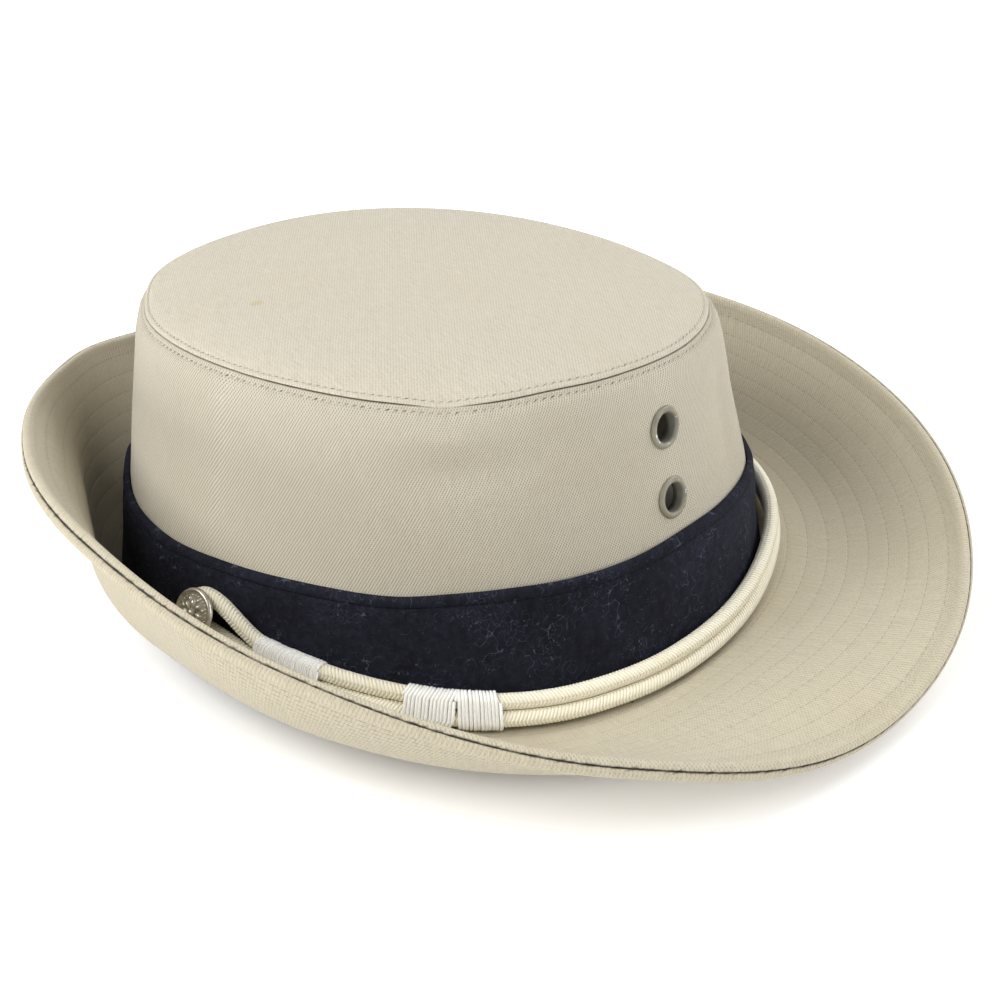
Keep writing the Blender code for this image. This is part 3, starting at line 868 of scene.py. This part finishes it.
def makeBand(finish):
    levels = spaced(-1.0, -0.16, 18) + [-0.14, -0.12, -0.105, -0.09, -0.075, -0.06, -0.04]
    rows = [(level, bandFace, 1) for level in levels]
    for level, inset, side in ((-0.022, 0.1, 1), (-0.008, 0.35, 1), (0.0, 0.8, 1), (0.002, 1.2, 0)):
        rows.append((level, bandFace - inset * mm, side))
    rows += [(0.0, hat["gap"] + 0.2 * mm, 0), (-0.03, hat["gap"], 0)]
    rows += [(level, hat["gap"], 0) for level in (-0.3, -0.6, -1.0)]
    rows.append(rows[0])

    def flat(heading, level, offset, side):
        return (heading - 180.0) * band["perDegree"], level * band["tall"]

    bm = wrapCloth(rows, bandCloth, flat, band["around"])
    measureRun(bm, 0.0, band["tall"])
    return keepPiece("hatBand", bm, finish, ["hat_band"])


def woolHairs(name, finish):
    bm = bmesh.new()
    for number in range(band["hairs"]):
        heading = random.uniform(0.0, 360.0)
        level = -1.0 + random.random() ** 0.8
        start = bandCloth(heading, level, bandFace, 1)
        away = outward(heading).to_3d()
        along = Vector((-away.y, away.x, 0.0))
        length = random.uniform(0.6, 2.3) * mm
        turn = random.uniform(0.0, math.tau)
        curl = random.uniform(-1.4, 1.4)
        path = []
        place = start - away * 0.05 * mm
        for step in range(5):
            path.append(place)
            lean = turn + curl * step / 2
            lift = random.uniform(0.02, 0.35) if step < 2 else random.uniform(-0.15, 0.25)
            ahead = along * math.cos(lean) + Vector((0, 0, math.sin(lean))) + away * lift
            place = place + ahead.normalized() * (length / 4)
        if max(point.z for point in path) < hat["bandLineHeight"] + 0.6 * mm:
            wrapBar(bm, path, 0.016 * mm, 3)
    return keepPiece(name, bm, finish, [])


# Cream cord: two strands of one braid, doubled over the button's shank
cord = {
    "button": 273.0,
    "shank": 4.0 * mm,
    "shankSlack": 0.4 * mm,
    "braid": 1.04 * mm,
    "lean": 1.5 * mm,
    "light": (0.97, 0.92, 0.75),
    # dark is painted shade: the colour of the valleys between the braid's strands
    "dark": (0.72, 0.63, 0.42),
    "relief": 0.17 * mm,
    "fine": 0.21 * mm,
    "coarse": 1.5 * mm,
    "seenTo": 62.0,
    # degrees from the button, lift, spread and lay
    "rows": (
        (0, 1.0, 1.0, 0.0), (3, 1.0, 0.9, 0.0), (5, 0.9, 0.6, 0.2), (8, 0.68, 0.2, 0.5),
        (11, 0.52, 0.0, 1.0), (22, 0.3, 0.0, 1.0), (30, 0.12, 0.0, 1.0), (40, 0.0, 0.0, 1.0),
        (72, 0.0, 0.0, 1.0), (96, 0.0, 0.0, 0.4), (116, 0.0, 0.0, 0.0), (360, 0.0, 0.0, 0.0),
    ),
}


# a seat on the cloth: its own Y runs up and its Z faces out
def seatAt(place, up, heading):
    away = outward(heading).to_3d()
    out = (away - up * away.dot(up)).normalized()
    seat = Matrix((up.cross(out), up, out)).transposed().to_4x4()
    seat.translation = place
    return seat


def onBand(heading, height, offset):
    foot = brimTopHeight(heading, bandFace, hat["gap"])
    level = (hat["bandLineHeight"] - height) / (hat["bandLineHeight"] - foot)
    place = bandPlace(heading, -level, bandFace + offset)
    place.z = height
    return place


@cache
def cordStrands(heading):
    turn = (heading - cord["button"]) % 360.0
    lift, spread, lay = (tableValue(cord["rows"], column, turn) for column in (1, 2, 3))
    away = outward(heading).to_3d()
    height = restHeight(heading, bandFace + hat["cordRest"], hat["cordRest"])
    for step in range(5):
        lower = onBand(heading, height, hat["cordRest"] + hat["cordLay"] * lay)
        reach = (lower - footOval(heading).to_3d()).dot(away)
        height = restHeight(heading, reach, hat["cordRest"]) + hat["cordLift"] * lift
        lower.z = height
    shankRoom = cord["shank"] + hat["gap"] + 2 * cord["shankSlack"]
    apart = 2 * hat["cordRadius"] + hat["gap"] * 0.5 + shankRoom * spread
    upper = lower + Vector((0.0, 0.0, apart))
    for step in range(4):
        upper = onBand(heading, upper.z, hat["cordRest"])
        level = (upper - lower).to_2d().length
        upper.z = height + math.sqrt(apart * apart - level * level)
    return lower, upper


def relaxed(path, times):
    for step in range(times):
        path = [path[0]] + [(a + b * 2 + c) / 4 for a, b, c in zip(path, path[1:], path[2:])] + [path[-1]]
    return path


def creamBraid(name):
    finish = Finish(name, Roughness=0.6, Sheen_Weight=0.6, Sheen_Roughness=0.4)
    u, v = finish.cloth("run")[:2]
    fold = ((v * 2.0).maths("FRACT") - 0.5).maths("ABSOLUTE") * 2.0
    plait = (u + fold * cord["lean"]) / cord["braid"]
    strand = plait.wave().maths("POWER", 0.55)
    spine = fold.near(0.0, 0.12) + fold.near(1.0, 0.12)
    fibre = finish.noise(finish.joined(u * 1500.0, v * 30.0), 1.0, 2.0)
    # painted shade: the valleys between the braid's strands and along its spine take the dark colour
    deep = (strand - spine * 0.15 + fibre * 0.2).step(0.0, 0.55)
    colour = finish.blend(deep, cord["dark"], cord["light"])
    cloud = finish.noise(finish.joined(u * 60.0, v), 1.0, 3.0)
    colour = finish.blend(cloud.step(0.45, 0.75) * 0.3, colour, (0.78, 0.72, 0.55), "MULTIPLY")
    height = strand - spine * 0.4 + fibre * 0.15
    return finish.wear(Base_Color=colour, Normal=finish.bump(height, 0.22 * mm, 0.9))


def cordPath():
    count = int((hat["cordEnd"] + 360 - cord["button"]) / 1.5)
    headings = [cord["button"] + 1.5 * step for step in range(count + 1)]
    pairs = [cordStrands(heading) for heading in headings]
    low, high = pairs[0]
    centre, radius = (low.z + high.z) / 2, (high.z - low.z) / 2
    perMetre = 2.0 / (footOval(cord["button"] + 1.0) - footOval(cord["button"] - 1.0)).length
    bight = []
    for angle in (255, 240, 225, 210, 195, 180, 165, 150, 135, 120, 105):
        along = radius * math.cos(math.radians(angle))
        height = centre + radius * math.sin(math.radians(angle))
        bight.append(onBand(cord["button"] + along * perMetre, height, hat["cordRest"]))
    path = [lower for lower, upper in reversed(pairs)] + bight + [upper for lower, upper in pairs]
    return relaxed(path, 4)


def finer(path, stepAt):
    made = [path[0]]
    for before, start, end, after in zip([path[0], *path], path, path[1:], [*path[2:], path[-1]]):
        count = max(1, round((end - start).length / stepAt(start)))
        made += [curveAt(before, start, end, after, number / count) for number in range(1, count + 1)]
    return made


# the braid's own relief is fine where the camera side sees it and left out behind the crown
def makeCord(finish):
    def stepAt(point):
        heading = math.degrees(math.atan2(point.x, -point.y)) % 360.0
        seen = heading > cord["button"] - 12 or heading < cord["seenTo"]
        return cord["fine"] if seen else cord["coarse"]

    def relief(along, turn):
        fold = abs((turn * 2.0) % 1.0 - 0.5) * 2.0
        plait = (along + fold * cord["lean"]) / cord["braid"]
        return ((0.5 - 0.5 * math.cos(math.tau * plait)) ** 0.55 - 0.6) * cord["relief"]

    bm = bmesh.new()
    length = wrapBar(bm, finer(cordPath(), stepAt), hat["cordRadius"], 26, relief=relief)
    closeEnds(bm)
    print("cord is", round(length, 3), "m long")
    return keepPiece("hatCord", bm, finish, ["hat_cord"])


# White floss whippings: one thread wound round both strands, turn by turn
whipping = {
    "thread": 0.30 * mm,
    "pitch": 0.52 * mm,
    "spots": {
        "whippingLong": ("whipping_long", 283.5, 294.5, 1.8, 1.05),
        "whippingLeft": ("whipping_left", 307.5, 315.1, 3.0, 1.85),
        "whippingRight": ("whipping_right", 315.4, 322.0, -0.6, 1.85),
        "whippingEnd": ("whipping_end", 188.0, 194.5, 0.3, 1.0),
    },
}


def whiteFloss(name):
    finish = Finish(name, Roughness=0.5, Sheen_Weight=0.6, Sheen_Roughness=0.3)
    u, v = finish.cloth("run")[:2]
    ply = finish.noise(finish.joined(u * 900.0, v * 14.0), 1.0, 2.0)
    colour = finish.blend(ply.step(0.25, 0.7), (0.86, 0.85, 0.80), (1.0, 1.0, 0.98))
    return finish.wear(Base_Color=colour, Normal=finish.bump(ply, 0.05 * mm, 0.8))


def makeWhipping(name, finish):
    node, start, end, slant, thick = whipping["spots"][name]
    radius = whipping["thread"] * (0.25 + 0.8 * thick)
    length = (cordStrands(end)[0] - cordStrands(start)[0]).length
    turns = round(length / (whipping["pitch"] * thick))
    sides = 24
    path = []
    for number in range(turns * sides + 1):
        turn = number / sides
        share = turn / turns
        wrap = turn % 1.0
        # the thread leans along the cord as it goes over the front, and back behind
        lean = slant * mm * math.sin(wrap * math.tau) * 0.5
        wobble = noise.noise(Vector((turn * 0.9, start, 0.0))) * 0.22 * mm
        heading = start + (end - start) * (share + (lean + wobble) / length)
        lower, upper = cordStrands(heading)
        away = outward(heading).to_3d()
        up = (upper - lower).normalized()
        across = (away - up * away.dot(up)).normalized()
        clear = hat["cordRadius"] + 0.36 * mm + 0.18 * mm * noise.noise(Vector((int(turn) * 7.3, start, 1.0)))
        angle = wrap * math.tau
        centre = upper if math.sin(angle) >= 0.0 else lower
        path.append(centre + (across * math.cos(angle) + up * math.sin(angle)) * clear)
    bm = bmesh.new()
    wrapBar(bm, path, radius, 6)
    closeEnds(bm)
    return keepPiece(name, bm, finish, [node])


# Nickel button: a domed face in a raised rim, with a plain rosette and a ring of beads
button = {
    "radius": 7.1 * mm,
    "thick": 2.6 * mm,
    "tip": 10.0,
    "low": 0.6 * mm,
    "petals": 8,
    "beads": 28,
    "outline": (
        (0.0, 0.86), (0.2, 0.85), (0.42, 0.80), (0.62, 0.70), (0.78, 0.58), (0.82, 0.60),
        (0.85, 0.74), (0.89, 0.80), (0.94, 0.78), (0.98, 0.66), (1.0, 0.5), (1.0, 0.36),
        (0.97, 0.2), (0.90, 0.06), (0.80, 0.0), (0.32, -0.04),
    ),
}


def nickelPlate(name):
    finish = Finish(name, Metallic=1.0, Roughness=0.28)
    body = finish.node("ShaderNodeTexCoord", None, None, "Object")
    grain = finish.noise(body, 2600.0, 3.0)
    stain = finish.noise(body, 420.0, 4.0)
    colour = finish.blend(stain.step(0.4, 0.75), (0.70, 0.67, 0.60), (0.42, 0.39, 0.33))
    rough = stain * 0.25 + 0.2
    return finish.wear(Base_Color=colour, Roughness=rough, Normal=finish.bump(grain, 0.05 * mm, 0.5))


def spunOutline(bm, outline, segments):
    verts = [bm.verts.new((radius, 0.0, height)) for radius, height in outline]
    edges = [bm.edges.new(pair) for pair in zip(verts, verts[1:])]
    turn = {"cent": (0, 0, 0), "axis": (0, 0, 1), "angle": math.tau, "steps": segments}
    bmesh.ops.spin(bm, geom=verts + edges, use_merge=True, **turn)
    bmesh.ops.remove_doubles(bm, verts=bm.verts, dist=0.002 * mm)
    bmesh.ops.recalc_face_normals(bm, faces=bm.faces)


def buttonSeat():
    lower, upper = cordStrands(cord["button"])
    height = (lower.z + upper.z) / 2
    middle = onBand(cord["button"], height, hat["cordRest"])
    up = (onBand(cord["button"], height + mm, 0.0) - onBand(cord["button"], height - mm, 0.0)).normalized()
    seat = seatAt(middle - up * button["low"], up, cord["button"])
    return seat @ Matrix.Rotation(math.radians(-button["tip"]), 4, "X")


def makeButton(finish):
    radius, thick = button["radius"], button["thick"]
    back = hat["cordRadius"] + hat["gap"] + radius * math.sin(math.radians(button["tip"]))
    outline = [(radius * share, back + thick * rise) for share, rise in button["outline"]]
    outline += [(cord["shank"] / 2, back), (cord["shank"] / 2, -hat["cordRadius"]), (0.0, -hat["cordRadius"])]
    bm = bmesh.new()
    spunOutline(bm, outline, 72)
    face = back + thick * 0.78

    def stud(place, turn, size):
        made = bmesh.ops.create_uvsphere(bm, u_segments=12, v_segments=8, radius=1.0)["verts"]
        matrix = Matrix.Rotation(turn, 4, "Z") @ Matrix.Translation(place) @ Matrix.Diagonal((*size, 1.0))
        bmesh.ops.transform(bm, matrix=matrix, verts=made)

    stud((0.0, 0.0, face + 0.15 * mm), 0.0, (1.3 * mm, 1.3 * mm, 1.0 * mm))
    for petal in range(button["petals"]):
        turn = math.tau * petal / button["petals"]
        between = turn + math.pi / button["petals"]
        stud((2.6 * mm, 0.0, face - 0.05 * mm), turn, (1.35 * mm, 0.8 * mm, 0.8 * mm))
        stud((4.0 * mm, 0.0, face - 0.32 * mm), between, (0.8 * mm, 0.5 * mm, 0.6 * mm))
    for bead in range(button["beads"]):
        turn = math.tau * bead / button["beads"]
        stud((5.0 * mm, 0.0, face - 0.5 * mm), turn, (0.32 * mm, 0.32 * mm, 0.34 * mm))
    bmesh.ops.transform(bm, matrix=buttonSeat(), verts=bm.verts)
    return keepPiece("button", bm, finish, ["button"])


# Painted eyelets: a rolled flange over the cloth and a bare barrel that shows where the paint has worn
eyelet = {
    "heading": 359.1,
    "levels": {"eyeletUpper": ("eyelet_upper", 0.66), "eyeletLower": ("eyelet_lower", 0.245)},
    "bore": 4.2 * mm,
    "outer": 6.05 * mm,
    "wall": 0.6 * mm,
    "roll": (
        (0.0, 0.30), (0.06, 0.62), (0.16, 0.86), (0.30, 0.99), (0.45, 1.0),
        (0.62, 0.92), (0.78, 0.74), (0.90, 0.48), (0.97, 0.22), (1.0, 0.0),
    ),
    "rollHeight": 0.9 * mm,
    "paint": (0.25, 0.235, 0.17),
    "paintDark": (0.17, 0.155, 0.11),
    "metal": (0.62, 0.64, 0.64),
}


def sideSeat(heading, level):
    def at(step):
        bulge = tableValue(crown["sideRows"], 1, level + step)
        return sidePlace(heading, level + step, bulge, 0.0)

    return seatAt(at(0.0), (at(0.05) - at(-0.05)).normalized(), heading)


def paintedEyelet(name):
    finish = Finish(name, Roughness=0.4)
    v = finish.cloth("run")[1]
    body = finish.node("ShaderNodeTexCoord", None, None, "Object")
    chips = finish.noise(body, 900.0, 3.0)
    bare = (1 - v.step(0.9, 1.05)) + v.near(1.15, 0.12) * chips.step(0.62, 0.68)
    bare = bare.maths("MINIMUM", 1.0)
    cloud = finish.noise(body, 240.0, 3.0)
    colour = finish.blend(cloud.step(0.3, 0.8), eyelet["paint"], eyelet["paintDark"])
    colour = finish.blend(bare, colour, eyelet["metal"])
    rough = bare * -0.12 + cloud * 0.15 + 0.34
    height = finish.bump(cloud, 0.1 * mm, 0.4)
    return finish.wear(Base_Color=colour, Metallic=bare * 0.95, Roughness=rough, Normal=height)


def makeEyelet(name, finish):
    node, level = eyelet["levels"][name]
    bore, outer, wall = eyelet["bore"], eyelet["outer"], eyelet["wall"]
    back = hat["crownCloth"] + hat["gap"] + 0.5 * mm
    front, tall = hat["gap"] * 0.5, eyelet["rollHeight"]
    outline = [(bore, -back - wall), (bore, -1.2 * mm), (bore, 0.2 * mm)]
    outline += [(bore + (outer - bore) * share, front + tall * rise) for share, rise in eyelet["roll"]]
    outline += [(bore + wall, front), (bore + wall, -back)]
    outline += [(outer - wall, -back), (outer - wall, -back - wall)]
    outline.append(outline[0])
    bm = bmesh.new()
    run = bm.loops.layers.uv.new("run")
    spunOutline(bm, outline, 48)
    for face in bm.faces:
        for loop in face.loops:
            loop[run].uv = (0.0, math.hypot(loop.vert.co.x, loop.vert.co.y) / bore)
    bmesh.ops.transform(bm, matrix=sideSeat(eyelet["heading"], level), verts=bm.verts)
    return keepPiece(name, bm, finish, [node])


# The bores through the crown's side, cut with a plain cylinder and the cutter thrown away
def cutBores(piece):
    radius = eyelet["bore"] + eyelet["wall"] + hat["gap"]
    for node, level in eyelet["levels"].values():
        bm = bmesh.new()
        bmesh.ops.create_cone(bm, cap_ends=True, segments=48, radius1=radius, radius2=radius, depth=12 * mm)
        seat = Matrix.Translation(hat["shift"]) @ sideSeat(eyelet["heading"], level)
        bmesh.ops.transform(bm, matrix=seat, verts=bm.verts)
        mesh = bpy.data.meshes.new("bore")
        bm.to_mesh(mesh)
        bm.free()
        cutter = bpy.data.objects.new("bore", mesh)
        bpy.context.scene.collection.objects.link(cutter)
        cut = piece.modifiers.new("bore", "BOOLEAN")
        cut.operation = "DIFFERENCE"
        cut.solver = "EXACT"
        cut.object = cutter
        graph = bpy.context.evaluated_depsgraph_get()
        done = bpy.data.meshes.new_from_object(piece.evaluated_get(graph))
        piece.modifiers.clear()
        old, piece.data = piece.data, done
        bpy.data.meshes.remove(old)
        bpy.data.objects.remove(cutter)
        bpy.data.meshes.remove(mesh)
    piece.data.shade_smooth()
    print("bores cut")


# Stitches laid as short threads along the seam, one row on the side and one on the tip
def sewRow(bm, place, pitch, size):
    points = [place(180.0 + 0.5 * step) for step in range(721)]
    total, due = 0.0, pitch / 2
    for (a, out), (b, ahead) in zip(points, points[1:]):
        length = (b - a).length
        while total + length > due:
            here = a.lerp(b, (due - total) / length)
            along = (b - a).normalized()
            side = out.cross(along).normalized()
            made = bmesh.ops.create_uvsphere(bm, u_segments=6, v_segments=5, radius=1.0)["verts"]
            seat = Matrix((along, side, out)).transposed().to_4x4()
            seat.translation = here
            jitter = Matrix.Rotation(random.uniform(-0.12, 0.12), 4, "Z")
            bmesh.ops.transform(bm, matrix=seat @ jitter @ Matrix.Diagonal((*size, 1.0)), verts=made)
            due += pitch
        total += length


def seamStitches(finish):
    bm = bmesh.new()
    bm.loops.layers.uv.new("run")
    reach = (hat["tip"][0] + hat["tip"][1]) / 2
    size = (0.85 * mm, 0.17 * mm, 0.11 * mm)

    def below(heading):
        level = 1.0 - crown["stitchOff"] / hat["sideHeight"]
        out = outward(heading).to_3d() + Vector((0, 0, 0.1))
        return sideCloth(heading, level, 0.0), out.normalized()

    def above(heading):
        share = 1.0 - crown["tipStitchOff"] / reach
        out = outward(heading).to_3d() * 0.25 + Vector((0, 0, 1))
        return tipCloth(heading, share, hat["tipCloth"]), out.normalized()

    sewRow(bm, below, crown["stitchPitch"], size)
    sewRow(bm, above, crown["stitchPitch"], size)
    return keepPiece("seamStitches", bm, finish, [])


def khakiThread(name):
    finish = Finish(name, Roughness=0.6)
    body = finish.node("ShaderNodeTexCoord", None, None, "Object")
    ply = finish.noise(body, 2400.0, 2.0)
    colour = finish.blend(ply.step(0.3, 0.7), (0.40, 0.36, 0.27), (0.62, 0.57, 0.46))
    return finish.wear(Base_Color=colour, Normal=finish.bump(ply, 0.05 * mm, 0.6))


# rows of stitches round the brim, from the first one inwards; dark sets the strength of the painted shade
# along each row
topRows = {
    "first": hat["brimWidth"] - brim["quiltEdge"],
    "pitch": brim["quiltPitch"],
    "stitch": 2.9 * mm,
    "rows": 9,
    "light": 0.1,
    "dark": 0.3,
    "dip": 0.25,
    "ripple": 1.8 * mm,
}
underRows = {**topRows, "pitch": 2.1 * mm, "stitch": 3.3 * mm, "rows": 28, "light": 0.55, "dark": 0.62}
underRows.update(dip=0.5, ripple=0.0)
edgeStart = hat["brimWidth"] - brim["edgeRound"]
# the span across the rolled edges that takes the painted shade of the rim's groove
rimSeam = tuple((edgeStart + brim["edgeRound"] * turn) * brim["steep"] for turn in (1.75, 2.6))
# a pale stain on the tip and a dark speck on the brim: tint, place on the weave map and size
stain = ((0.93, 0.86, 0.66), (-50.4 * mm, 13.1 * mm), 2.6 * mm)
speck = ((0.03, 0.03, 0.03), ((343.7 - 180.0) * brim["perDegree"], 6.4 * mm * brim["steep"]), 0.5 * mm)
pitch = crown["stitchPitch"]

tipTwill = khakiTwill("tipTwill", 0.4, marks=(stain,), seams=(crown["tipStitchOff"],), pitch=pitch)
tip = makeCrownTip(tipTwill)
# painted shade: the side's twill is tinted a little darker than the tip's, standing in for the dimmer light
# on the side
sideTwill = khakiTwill("sideTwill", 1.4, tint=(0.95, 0.95, 0.94), seams=(crown["stitchOff"],), pitch=pitch)
side = makeCrownSide(sideTwill)
cutBores(side)
brimTwill = khakiTwill("brimTwill", 0.5, quilt=topRows, rim=rimSeam, marks=(speck,), tint=(0.97, 0.95, 0.88))
brimTop = makeBrim("brimTop", "brim_top", hat["gap"] / 2, brimHalf, True, brimTwill)
# the underside's tint is yellower cloth, as on the top, and a little darker than the top's: painted shade on
# the brim's underside
underTwill = khakiTwill("underTwill", 0.4, quilt=underRows, rim=rimSeam, tint=(0.93, 0.905, 0.83))
brimUnder = makeBrim("brimUnder", "brim_under", -brimHalf, -hat["gap"] / 2, False, underTwill)
woolBand = makeBand(navyWool("navyWool"))
woolHairs("bandHairs", Finish("woolHair", Base_Color=(0.085, 0.095, 0.145), Roughness=0.8).material)
makeCord(creamBraid("creamBraid"))
floss = whiteFloss("whiteFloss")
for name in whipping["spots"]:
    makeWhipping(name, floss)
makeButton(nickelPlate("nickelPlate"))
painted = paintedEyelet("paintedEyelet")
for name in eyelet["levels"]:
    makeEyelet(name, painted)
seamStitches(khakiThread("khakiThread"))
